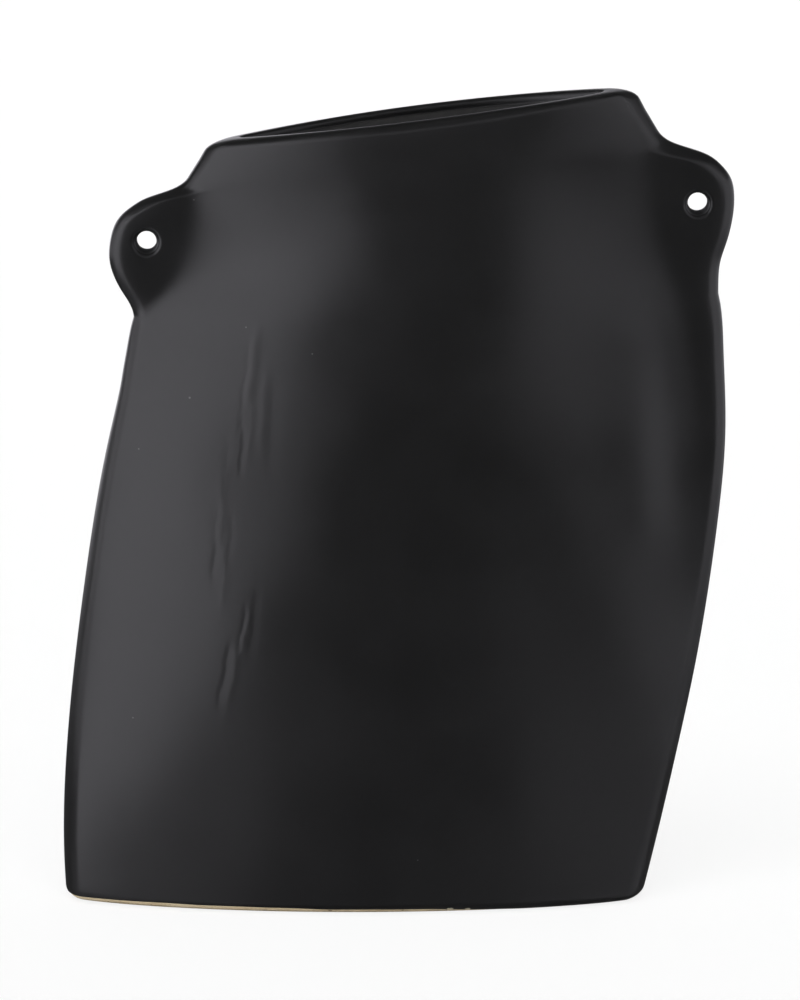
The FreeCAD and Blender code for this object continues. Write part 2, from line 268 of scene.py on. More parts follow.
# How high the glaze stops above the table, over x in millimetres: bare clay shows at the left only
GLAZE_LINE = ShareCurve(
    (-122.0, 2.6), (-98.0, 2.8), (-60.0, 2.7), (-39.0, 2.4), (-25.0, 2.1), (0.0, 1.95), (12.0, 1.85),
    (24.0, 1.5), (34.0, 0.9), (46.0, 0.35), (60.0, 0.15), (90.0, 0.10), (122.0, 0.10),
)


@dataclass(frozen=True)
class Columns:
    """Where a skin's columns run on the front half of a level curve, from the left edge to the right edge.

    Each array holds one number for each column: the passed share of the left rounded edge, of the span
    between the edges and of the right rounded edge, and the rise of the rounded edge to its full half
    thickness.
    """

    left: np.ndarray
    middle: np.ndarray
    right: np.ndarray
    rise: np.ndarray

    @classmethod
    def spaced(cls, edge_steps: int, span_steps: int) -> "Columns":
        """Spaces the columns closely at the ears and in the band of glaze runs, and widely elsewhere.

        Args:
            edge_steps: Steps round each edge.
            span_steps: Steps between the two edges.

        Returns:
            The columns.
        """
        span = close_steps(span_steps, COLUMN_SAMPLES, *COLUMN_BANDS)
        turn = np.radians(90) * np.arange(edge_steps) / edge_steps
        ones, zeros = np.ones(span_steps + 1), np.zeros(edge_steps)
        return cls(
            left=np.concatenate([1 - np.cos(turn), ones, np.ones(edge_steps)]),
            middle=np.concatenate([zeros, span, np.ones(edge_steps)]),
            right=np.concatenate([zeros, np.zeros(span_steps + 1), np.cos(turn[::-1])]),
            rise=np.concatenate([np.sin(turn), ones, np.sin(turn[::-1])]),
        )


@dataclass(frozen=True)
class Body:
    """The pillow body over its glaze, and the hollow in it. Lengths are millimetres, angles are degrees.

    The belly's half depth and the ears' reach are a hair under those of the solids, so that the unevenness
    of the glaze stays inside the solids' box.
    """

    lip_height: float = 291.4
    belly_half_width: float = 114.6
    belly_half_depth: float = 41.98
    edge_half_thickness: float = 4.25
    base_edge_half_thickness: float = 6.5
    base_round: float = 5.0
    lip_tilt: float = 7.27
    tilt_start: float = 60.0
    tilt_power: float = 3.24
    lip_round_height: float = 3.6
    lip_round_depth: float = 2.0
    lip_end_round: float = 8.0
    lip_flare: float = 1.6
    lip_flare_height: float = 3.0
    wall: float = 4.4  # clay and outer glaze
    side_wall: float = 5.2
    liner: float = 0.3  # thickness of the liner glaze
    hollow_edge: float = 1.5
    hollow_base_round: float = 5.0
    floor_top: float = 8.0
    ear_drop: float = 69.4
    ear_root: float = 55.0
    ear_reach: float = 20.56
    ear_hole_rise: float = 30.7
    ear_hole_inset: float = 13.4
    swell_fade: tuple = (0.1, 0.9)  # shares of the way to the middle over which the swell goes
    bulge_blend: tuple = (0.1, 1.0)  # shares of the bulge over which its middle goes over to its end
    stretch_step: float = 0.25  # share of the edge over which the outline's slant is measured

    def slope(self, level: np.ndarray) -> np.ndarray:
        """Rise of a level curve's plane per unit of x."""
        climb = np.maximum(0, level - self.tilt_start) / (self.lip_height - self.tilt_start)
        return math.tan(math.radians(self.lip_tilt)) * climb**self.tilt_power

    def centre(self, level: np.ndarray) -> np.ndarray:
        """Place of the leaning centre line."""
        return self.belly_half_width * LEAN(level / self.lip_height)

    def body_reach(self, level: np.ndarray) -> np.ndarray:
        """Half width without the ears."""
        return self.belly_half_width * HALF_WIDTH(level / self.lip_height)

    def outline_reach(self, level: np.ndarray, side: Side) -> np.ndarray:
        """From the centre line to the outline, ears included."""
        along = (level - self.lip_height + self.ear_drop) / self.ear_root
        return self.body_reach(level) + self.ear_reach * EAR[side](along)

    def bulge_reach(self, level: np.ndarray, side: Side) -> np.ndarray:
        """From the centre line to the bulge's end."""
        return self.body_reach(level) * BULGE[side](level / self.lip_height)

    def hollow_reach(self, level: np.ndarray, side: Side) -> np.ndarray:
        """From the centre line to the end of the bulge that the hollow follows."""
        return self.body_reach(level) * HOLLOW_BULGE[side](level / self.lip_height)

    def swell(self, level: np.ndarray, across: np.ndarray) -> np.ndarray:
        """Depth that a thin flange or an ear gains from its rim inwards.

        Formula: slope * w * (1 - exp(-d / w)), where d is the distance from the outline and w the swell's
        width at that level. It fades out towards the middle.

        Args:
            level: Level of each place.
            across: Distance from the centre line.

        Returns:
            The gained depth.
        """
        gained = 0
        for side in Side:
            outline = self.outline_reach(level, side)
            width = SWELL_WIDTH[side](level / self.lip_height)
            inwards = np.maximum(0, outline - self.edge_half_thickness / 2 - side.value * across)
            fade = 1 - smooth(*self.swell_fade, inwards / outline)
            gained = gained + SWELL_SLOPE[side] * width * (1 - np.exp(-inwards / width)) * fade
        return gained

    def half_depth(self, level: np.ndarray) -> np.ndarray:
        """Half depth in the middle."""
        return self.belly_half_depth * HALF_DEPTH(level / self.lip_height)

    def edge_thickness(self, level: np.ndarray) -> np.ndarray:
        """Half thickness of the side edge: stout at the base, thin from half of the lip's height up."""
        fade = (1 - np.minimum(1, 2 * level / self.lip_height)) ** 2
        return self.edge_half_thickness + (self.base_edge_half_thickness - self.edge_half_thickness) * fade

    def outline_stretch(self, level: np.ndarray, side: Side) -> np.ndarray:
        """How much wider a level curve cuts the rounded edge where the outline slants."""
        step = self.edge_half_thickness * self.stretch_step
        low, high = np.maximum(0, level - step), np.minimum(self.lip_height, level + step)
        run = side.value * (self.centre(high) - self.centre(low))
        run = run + self.outline_reach(high, side) - self.outline_reach(low, side)
        return np.hypot(1, run / (high - low))

    def bulge_share(self, across: np.ndarray, ends: dict, middles: dict) -> np.ndarray:
        """Share of the way from the centre line to the bulge's end.

        Formula: the share of the end that the middle of the bulge follows, going over softly to the share
        of the real end.

        Args:
            across: Distance from the centre line.
            ends: For each side, how far out the bulge ends.
            middles: For each side, the end that the middle of the bulge follows.

        Returns:
            The share, below zero on the left.
        """
        right = across > 0
        outer = across / np.where(right, ends[Side.RIGHT], ends[Side.LEFT])
        inner = across / np.where(right, middles[Side.RIGHT], middles[Side.LEFT])
        return inner + (outer - inner) * smooth(*self.bulge_blend, np.abs(outer))

    def bulge(
        self, level: np.ndarray, across: np.ndarray, depth: np.ndarray, ends: dict, middles: dict, soft: bool
    ) -> np.ndarray:
        """Depth that the bulge adds at a place.

        Formula: depth * e ** fullness, where e = 1 - s * s, s is the bulge share and the fullness goes
        softly from its left value to its right value. A soft bulge runs out past its end: there e becomes
        (e + root(e * e + k * k)) / (1 + root(1 + k * k)), where k is the toe's softness at that level.

        Args:
            level: Level of each place.
            across: Distance from the centre line.
            depth: The bulge's depth in the middle.
            ends: For each side, how far out the bulge ends.
            middles: For each side, the end that the middle of the bulge follows.
            soft: Whether the bulge runs out softly.

        Returns:
            The added depth.
        """
        share = self.bulge_share(across, ends, middles)
        rest = 1 - share * share
        if soft:
            toes = [TOE[side](level / self.lip_height) for side in Side]
            toe = np.where(across > 0, toes[1], toes[0])
            rest = (rest + np.hypot(rest, toe)) / (1 + np.hypot(1, toe))
        blend = smooth(-1, 1, across / ends[Side.RIGHT])
        left, right = (FULLNESS[side](level / self.lip_height) for side in Side)
        return depth * np.maximum(0, rest) ** (left + (right - left) * blend)

    def level_points(
        self, level: np.ndarray, columns: Columns, reach: dict, edge_depth: np.ndarray, edge_width: dict,
        bulge_depth: np.ndarray, bulge_ends: dict, middles: dict, soft: bool,
    ) -> np.ndarray:
        """Points of the front halves of level curves.

        Formula: from the left outline a quarter ellipse rises to the edge's half thickness, runs level to
        the right edge and falls again, and the bulge is added to it. The point's height is its level plus
        slope times x.

        Args:
            level: One level for each row, or for each row and column.
            columns: Where the columns run.
            reach: For each side, from the centre line to the outline.
            edge_depth: The rounded edge's half thickness.
            edge_width: For each side, the width of the rounded edge.
            bulge_depth: What the bulge adds in the middle.
            bulge_ends: For each side, where the bulge ends.
            middles: For each side, the end that the middle of the bulge follows.
            soft: Whether the bulge runs out softly.

        Returns:
            An array of rows, columns and x, y, z.
        """
        span = reach[Side.LEFT] + reach[Side.RIGHT] - edge_width[Side.LEFT] - edge_width[Side.RIGHT]
        across = columns.left * edge_width[Side.LEFT] - reach[Side.LEFT] + columns.middle * span
        across = across + columns.right * edge_width[Side.RIGHT]
        ends = {side: np.minimum(bulge_ends[side], reach[side]) for side in Side}
        added = self.bulge(level, across, bulge_depth, ends, middles, soft)
        depth = columns.rise * edge_depth + added * (columns.rise if soft else 1)
        x = self.centre(level) + across
        level = level + 0 * x
        return np.stack([x, -depth, level + self.slope(level) * x], axis=-1)

    def outside(
        self, level: np.ndarray, columns: Columns, base_trim: np.ndarray, lip_trim: np.ndarray
    ) -> np.ndarray:
        """Front half of the outside.

        Args:
            level: One level for each row and column.
            columns: Where the columns run.
            base_trim: How far the base is drawn in there, from 0 to 1.
            lip_trim: How far the lip is drawn in there, from 0 to 1.

        Returns:
            An array of rows, columns and x, y, z.
        """
        drawn_in = self.base_round * base_trim
        edge_depth = self.edge_thickness(level) - drawn_in - self.lip_round_depth * lip_trim
        pull = drawn_in + self.lip_end_round * lip_trim
        reach = {side: self.outline_reach(level, side) - pull for side in Side}
        width = {side: edge_depth * self.outline_stretch(level, side) for side in Side}
        ends = {side: self.bulge_reach(level, side) - drawn_in for side in Side}
        middles = {side: self.hollow_reach(level, side) - drawn_in for side in Side}
        bulge_depth = self.half_depth(level) - self.edge_thickness(level)
        points = self.level_points(level, columns, reach, edge_depth, width, bulge_depth, ends, middles, True)
        points[..., 1] -= self.swell(level, points[..., 0] - self.centre(level)) * columns.rise
        return points

    def inside(
        self, level: np.ndarray, columns: Columns, flare: np.ndarray, base_trim: np.ndarray
    ) -> np.ndarray:
        """Front half of the glazed hollow.

        Args:
            level: One level for each row and column.
            columns: Where the columns run.
            flare: How far the hollow opens out towards the lip.
            base_trim: How far the hollow is drawn in at its floor, from 0 to 1.

        Returns:
            An array of rows, columns and x, y, z.
        """
        edge_depth = self.hollow_edge - self.liner + flare
        drawn_in = self.hollow_base_round * base_trim
        ends = {side: self.hollow_reach(level, side) - self.side_wall - drawn_in for side in Side}
        reach = {side: ends[side] - self.liner + flare for side in Side}
        bulge_depth = self.half_depth(level) - self.wall - self.hollow_edge - drawn_in
        width = {side: edge_depth for side in Side}
        return self.level_points(level, columns, reach, edge_depth, width, bulge_depth, ends, ends, False)

    def hole_axis(self, side: Side) -> tuple[float, float]:
        """x and z of an ear's hole, whose axis is parallel to y."""
        level = np.array(self.lip_height - self.ear_drop + self.ear_hole_rise)
        x = self.centre(level) + side.value * (self.outline_reach(level, side) - self.ear_hole_inset)
        return float(x), float(level + self.slope(level) * x)


# Meshes


@dataclass
class Skin:
    """A sheet of points and quads, before it becomes a mesh."""

    points: np.ndarray
    quads: np.ndarray

    def normals(self) -> np.ndarray:
        """Unit normals: the summed cross products of the diagonals of the quads round each point."""
        corners = self.points[self.quads]
        faces = np.cross(corners[:, 2] - corners[:, 0], corners[:, 3] - corners[:, 1])
        sums = np.zeros_like(self.points)
        for corner in range(4):
            np.add.at(sums, self.quads[:, corner], faces)
        return sums / np.maximum(np.linalg.norm(sums, axis=1), TINY)[:, None]

    def rim(self) -> np.ndarray:
        """The edges that only one quad uses, each in that quad's direction."""
        edges = np.concatenate([self.quads[:, [k, (k + 1) % 4]] for k in range(4)])
        keys = np.sort(edges, axis=1)
        keys = keys[:, 0].astype(np.int64) * (len(self.points) + 1) + keys[:, 1]
        _, first, count = np.unique(keys, return_index=True, return_counts=True)
        return edges[first[count == 1]]

    def thickened(self, thickness: float) -> tuple["Skin", np.ndarray]:
        """A closed shell: this sheet, a copy of it moved inwards, and the walls between their rims.

        Args:
            thickness: Distance from the sheet to its copy.

        Returns:
            The shell, and its rim edges, which stay sharp.
        """
        rim, count = self.rim(), len(self.points)
        points = np.concatenate([self.points, self.points - thickness * self.normals()])
        walls = np.stack([rim[:, 1], rim[:, 0], rim[:, 0] + count, rim[:, 1] + count], axis=1)
        quads = np.concatenate([self.quads, self.quads[:, ::-1] + count, walls])
        return Skin(points, quads), np.concatenate([rim, rim + count])

    def turned_in(self, thickness: float) -> tuple["Skin", np.ndarray]:
        """This sheet with its rims turned in, so that it looks as thick as that where it ends.

        Args:
            thickness: How far the rims are turned in.

        Returns:
            The sheet, and its first rim edges, which stay sharp.
        """
        rim, count = self.rim(), len(self.points)
        used, place = np.unique(rim, return_inverse=True)
        place = place.reshape(rim.shape) + count
        points = np.concatenate([self.points, (self.points - thickness * self.normals())[used]])
        walls = np.stack([rim[:, 1], rim[:, 0], place[:, 0], place[:, 1]], axis=1)
        return Skin(points, np.concatenate([self.quads, walls])), rim


def grid_quads(rows: int, around: int) -> np.ndarray:
    """Quads of a grid whose last column is followed by its first, by rows, columns and corners."""
    low = (np.arange(rows - 1) * around)[:, None] + np.arange(around)
    following = np.roll(low, -1, axis=1)
    return np.stack([low, following, following + around, low + around], axis=-1)


def both_halves(front: np.ndarray) -> np.ndarray:
    """Rows of a front half followed by its mirror image behind y = 0, without the two shared seam points."""
    rear = front[:, -2:0:-1] * np.array([1, -1, 1])
    return np.concatenate([front, rear], axis=1)


def placed(name: str, data: Any) -> bpy.types.Object:
    """Makes an object of a mesh, a lamp or a camera, and puts it into the scene."""
    made = bpy.data.objects.new(name, data)
    bpy.context.scene.collection.objects.link(made)
    return made


def make_piece(name: str, skin: Skin, sharp: np.ndarray) -> bpy.types.Object:
    """Makes a mesh object of a skin, on the vase's one body.

    Args:
        name: The piece's name.
        skin: Its points in millimetres, and its quads.
        sharp: Edges that stay sharp, as pairs of points.

    Returns:
        The object.
    """
    mesh = bpy.data.meshes.new(name)
    mesh.from_pydata((skin.points * MM).tolist(), [], skin.quads.tolist())
    mesh.update()
    mesh.shade_smooth()
    edges = np.zeros(len(mesh.edges) * 2, np.int32)
    mesh.edges.foreach_get("vertices", edges)
    span = len(skin.points) + 1
    keys = np.sort(edges.reshape(-1, 2), axis=1).astype(np.int64) @ [span, 1]
    marked = np.isin(keys, np.sort(sharp, axis=1).astype(np.int64) @ [span, 1])
    mesh.attributes.new("sharp_edge", "BOOLEAN", "EDGE").data.foreach_set("value", marked)
    piece = placed(name, mesh)
    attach(piece, "root")
    log.info("%s: %d quads", name, len(skin.quads))
    return piece


# Shader maths


class Graph:
    """Makes the nodes of one material or world."""

    def __init__(self, owner: Any) -> None:
        """Empties the owner's node tree.

        Args:
            owner: A material or a world.
        """
        owner.use_nodes = True
        self.tree = owner.node_tree
        self.tree.nodes.clear()

    def node(
        self, kind: str, settings: Optional[dict] = None, inputs: Optional[dict] = None
    ) -> bpy.types.Node:
        """Makes a node.

        Args:
            kind: The node's type.
            settings: Its properties, set first.
            inputs: For each socket's name or number, a value or a Socket to link.

        Returns:
            The node.
        """
        made = self.tree.nodes.new(kind)
        for key, value in (settings or {}).items():
            setattr(made, key, value)
        for key, value in (inputs or {}).items():
            if isinstance(value, Socket):
                self.tree.links.new(value.socket, made.inputs[key])
            elif isinstance(value, tuple) and len(value) == 3 and made.inputs[key].type == "RGBA":
                made.inputs[key].default_value = (*value, 1)
            else:
                made.inputs[key].default_value = value
        return made

    def read(
        self, kind: str, output: Any = 0, settings: Optional[dict] = None, inputs: Optional[dict] = None
    ) -> "Socket":
        """Makes a node and takes one of its outputs.

        Args:
            kind: The node's type.
            output: Name or number of the output.
            settings: The node's properties.
            inputs: The node's inputs.

        Returns:
            The output.
        """
        return Socket(self, self.node(kind, settings, inputs).outputs[output])

    def mix(self, share: Any, first: Any, second: Any) -> "Socket":
        """A colour between two colours.

        Args:
            share: How much of the second colour, from 0 to 1.
            first: The first colour.
            second: The second colour.

        Returns:
            The mixed colour.
        """
        return self.read("ShaderNodeMix", 2, {"data_type": "RGBA"}, {0: share, 6: first, 7: second})

    def noise(self, place: "Socket", scale: float, detail: float = 2, roughness: float = 0.5) -> "Socket":
        """A cloudy pattern from 0 to 1.

        Args:
            place: Where it is read.
            scale: How fine it is.
            detail: How many finer layers it has.
            roughness: How strong they are.

        Returns:
            The pattern.
        """
        inputs = {"Vector": place, "Scale": scale, "Detail": detail, "Roughness": roughness}
        return self.read("ShaderNodeTexNoise", 0, None, inputs)

    def coordinates(self) -> tuple["Socket", list["Socket"]]:
        """The place on the object in metres, and its x, y and z."""
        place = self.read("ShaderNodeTexCoord", "Object")
        split = self.node("ShaderNodeSeparateXYZ", None, {0: place})
        return place, [Socket(self, output) for output in split.outputs]

    def bump(self, height: "Socket", distance: float) -> "Socket":
        """The normal of a surface with small heights, which are shares of the distance in metres."""
        inputs = {"Strength": 1.0, "Distance": distance, "Height": height}
        return self.read("ShaderNodeBump", 0, None, inputs)

    def surface(self, inputs: dict) -> None:
        """Ends a material with a Principled shader that has these inputs."""
        shader = self.read("ShaderNodeBsdfPrincipled", 0, None, inputs)
        self.node("ShaderNodeOutputMaterial", None, {"Surface": shader})


class Socket:
    """A node's output that takes part in arithmetic."""

    def __init__(self, graph: Graph, socket: bpy.types.NodeSocket) -> None:
        """Holds the output and the graph it belongs to."""
        self.graph, self.socket = graph, socket

    def maths(self, operation: str, *values: Any) -> "Socket":
        """Adds a Math node.

        Args:
            operation: The node's operation.
            values: Its inputs.

        Returns:
            The result.
        """
        return self.graph.read("ShaderNodeMath", 0, {"operation": operation}, dict(enumerate(values)))

    def __add__(self, other: Any) -> "Socket":
        """Sum."""
        return self.maths("ADD", self, other)

    def __radd__(self, other: Any) -> "Socket":
        """Sum, reflected."""
        return self.maths("ADD", other, self)

    def __sub__(self, other: Any) -> "Socket":
        """Difference."""
        return self.maths("SUBTRACT", self, other)

    def __rsub__(self, other: Any) -> "Socket":
        """Difference, reflected."""
        return self.maths("SUBTRACT", other, self)

    def __mul__(self, other: Any) -> "Socket":
        """Product."""
        return self.maths("MULTIPLY", self, other)

    def __truediv__(self, other: Any) -> "Socket":
        """Quotient."""
        return self.maths("DIVIDE", self, other)

    def least(self, other: Any) -> "Socket":
        """The smaller of two values."""
        return self.maths("MINIMUM", self, other)

    def most(self, other: Any) -> "Socket":
        """The larger of two values."""
        return self.maths("MAXIMUM", self, other)

    def step(self, low: float, high: float, start: float = 0, end: float = 1) -> "Socket":
        """A soft step of this value.

        Args:
            low: Where the step starts.
            high: Where it ends.
            start: Its value before.
            end: Its value after.

        Returns:
            The stepped value.
        """
        inputs = {"Value": self, "From Min": low, "From Max": high, "To Min": start, "To Max": end}
        return self.graph.read("ShaderNodeMapRange", 0, {"interpolation_type": "SMOOTHSTEP"}, inputs)


# Finishes


@dataclass(frozen=True)
class StonewareFinish:
    """Bare fired clay: warm buff with a fine sandy grain and scattered iron specks."""

    name: str = "bare_stoneware"
    pale: tuple = (0.78, 0.66, 0.46)
    deep: tuple = (0.58, 0.46, 0.29)
    iron: tuple = (0.16, 0.10, 0.06)
    grain_scale: float = 900.0
    cloud_scale: float = 60.0
    cloud_share: float = 0.6  # how much of the colour's change is clouds, the rest being grain
    iron_scale: float = 420.0
    iron_range: tuple = (0.70, 0.76)  # where in the noise a speck comes in
    iron_strength: float = 0.8
    roughness: float = 0.85
    roughness_spread: float = 0.06
    specular: float = 0.3
    bump: float = 0.00006

    def material(self) -> bpy.types.Material:
        """Makes the material."""
        made = bpy.data.materials.new(self.name)
        graph = Graph(made)
        place = graph.read("ShaderNodeTexCoord", "Object")
        grain = graph.noise(place, self.grain_scale, 3, 0.6)
        cloud = graph.noise(place, self.cloud_scale, 2)
        patches = cloud * self.cloud_share + grain * (1 - self.cloud_share)
        colour = graph.mix(patches.step(*SOFT_RANGE), self.deep, self.pale)
        specks = graph.noise(place, self.iron_scale, 1).step(*self.iron_range)
        colour = graph.mix(specks * self.iron_strength, colour, self.iron)
        smoothest, roughest = self.roughness - self.roughness_spread, self.roughness + self.roughness_spread
        graph.surface({
            "Base Color": colour, "Roughness": grain.step(*WIDE_RANGE, smoothest, roughest),
            "Normal": graph.bump(grain, self.bump), "Specular IOR Level": self.specular,
        })
        return made


@dataclass(frozen=True)
class GlazeFinish:
    """Satin black glaze: near-black, with faint mottling, pinholes and a soft skin.

    Lengths on the surface are millimetres. Specks are (x, z, radius) of pale grains caught in the front's
    glaze, chips are (x, z, half width, half height) of places at the foot where it flaked off, and holes
    are (x, z) of bores in which it is dry. The fades of these three are squares of distances in shares of
    their size, and the front's fade is a stretch of y in metres.
    """

    name: str
    slot: Slot
    dark: tuple = (0.0068, 0.0068, 0.0070)
    light: tuple = (0.0098, 0.0098, 0.0102)
    speck_colour: tuple = (0.10, 0.10, 0.10)
    chip_colour: tuple = (0.46, 0.42, 0.33)
    roughness: float = 0.30
    smoother: float = 0.02
    rougher: float = 0.025
    fine_roughness: float = 0.02
    dry_roughness: float = 0.5
    cloud_scale: float = 28.0
    cloud_share: float = 0.7  # how much of the colour's change is clouds, the rest being fine mottling
    fine_scale: float = 340.0
    pore_scale: float = 800.0
    pore_range: tuple = (0.68, 0.78)  # where in the noise a pinhole comes in
    chip_edge_scale: float = 1500.0
    chip_raggedness: float = 3.0
    front_fade: tuple = (-0.002, 0.002)
    speck_fade: tuple = (0.5, 1.2)
    chip_fade: tuple = (0.6, 0.9)
    hole_fade: tuple = (0.75, 1.05)
    cloud_height: float = 0.8
    fine_height: float = 0.5
    pore_depth: float = 0.35
    chip_depth: float = 3.0
    bump: float = 0.00002
    specks: tuple = ()
    chips: tuple = ()
    holes: tuple = ()
    hole_radius: float = 4.4

    @staticmethod
    def away(x: "Socket", z: "Socket", at: tuple, sizes: tuple) -> "Socket":
        """Square of the distance from a point, in shares of a half width and a half height in millimetres."""
        across, up = (x - at[0] * MM) / (sizes[0] * MM), (z - at[1] * MM) / (sizes[1] * MM)
        return across * across + up * up

    def material(self) -> bpy.types.Material:
        """Makes the material."""
        made = bpy.data.materials.new(self.name)
        graph = Graph(made)
        place, (x, y, z) = graph.coordinates()
        front = 1 - y.step(*self.front_fade)
        cloud = graph.noise(place, self.cloud_scale, 3, 0.55)
        fine = graph.noise(place, self.fine_scale, 2, 0.6)
        pores = graph.noise(place, self.pore_scale, 1).step(*self.pore_range)
        ragged = (graph.noise(place, self.chip_edge_scale, 3, 0.7) - 0.5) * self.chip_raggedness
        specks, chips = front * 0, front * 0
        for *at, radius in self.specks:
            specks = specks.most(1 - self.away(x, z, at, (radius, radius)).step(*self.speck_fade))
        for *at, half_width, half_height in self.chips:
            gone = self.away(x, z, at, (half_width, half_height)) + ragged
            chips = chips.most(1 - gone.step(*self.chip_fade))
        chips = chips * front
        dry = chips
        for at in self.holes:
            inside = self.away(x, z, at, (self.hole_radius, self.hole_radius))
            dry = dry.most(inside.step(*self.hole_fade, 1, 0))
        patches = cloud * self.cloud_share + fine * (1 - self.cloud_share)
        colour = graph.mix(patches.step(*SOFT_RANGE), self.dark, self.light)
        colour = graph.mix(specks * front, colour, self.speck_colour)
        colour = graph.mix(chips, colour, self.chip_colour)
        rough = cloud.step(*SOFT_RANGE, self.roughness - self.smoother, self.roughness + self.rougher)
        rough = rough + fine * self.fine_roughness + dry * self.dry_roughness
        height = fine * self.fine_height + cloud * self.cloud_height
        height = height - pores * self.pore_depth - chips * self.chip_depth
        graph.surface({
            "Base Color": colour, "Roughness": rough, "Normal": graph.bump(height, self.bump), "IOR": 1.5,
        })
        return made


# Glazes


@dataclass(frozen=True)
class Stroke:
    """A glaze run between two points of the front: a low ridge, or a furrow where the height is negative.

    It has a flank of its own width on the left and on the right.
    """

    top: tuple[float, float]
    bottom: tuple[float, float]
    left_width: float
    right_width: float
    height: float
    end_share: float = 1 / 6
    waver_width: float = 1.5
    long_waver: tuple[float, float] = (0.35, 2.3)
    short_waver: tuple[float, float] = (0.25, 0.9)

    def rise(self, x: np.ndarray, z: np.ndarray) -> np.ndarray:
        """Height that the run adds.

        Formula: height * exp(-(d / width) squared), where d is the distance to the line between its ends
        and the width that of the flank. The run fades out round both ends, within the end share of its
        length. The line wavers by two sine waves, each with its height and its length per radian, and does
        so less where the run is broader than the waver width.

        Args:
            x: x of each place.
            z: z of each place.

        Returns:
            The added height.
        """
        run = np.array(self.top) - np.array(self.bottom)
        length = float(np.hypot(*run))
        along = ((x - self.bottom[0]) * run[0] + (z - self.bottom[1]) * run[1]) / length
        off = ((x - self.bottom[0]) * run[1] - (z - self.bottom[1]) * run[0]) / length
        waver = self.long_waver[0] * np.sin(along / self.long_waver[1])
        waver += self.short_waver[0] * np.sin(along / self.short_waver[1] + self.top[0])
        off = off + min(1.0, self.waver_width / self.right_width) ** 2 * waver
        end = length * self.end_share
        fade = smooth(-end, end, along) * smooth(-end, end, length - along)
        width = np.where(off < 0, self.left_width, self.right_width)
        return self.height * np.exp(-((off / width) ** 2)) * fade


@dataclass(frozen=True)
class Wave:
    """A long low sine wave that crosses the surface at an odd angle.

    Its lengths along x and z are millimetres per radian, and on the rear half it is turned on by rear_turn.
    """

    height: float
    x_length: float
    z_length: float
    start: float
    rear_turn: float

    def rise(self, x: np.ndarray, z: np.ndarray, rear: np.ndarray) -> np.ndarray:
        """Height of the wave at each place, where rear is 1 on the rear half and 0 on the front half."""
        turn = x / self.x_length + z / self.z_length + self.start + self.rear_turn * rear
        return self.height * np.sin(turn)


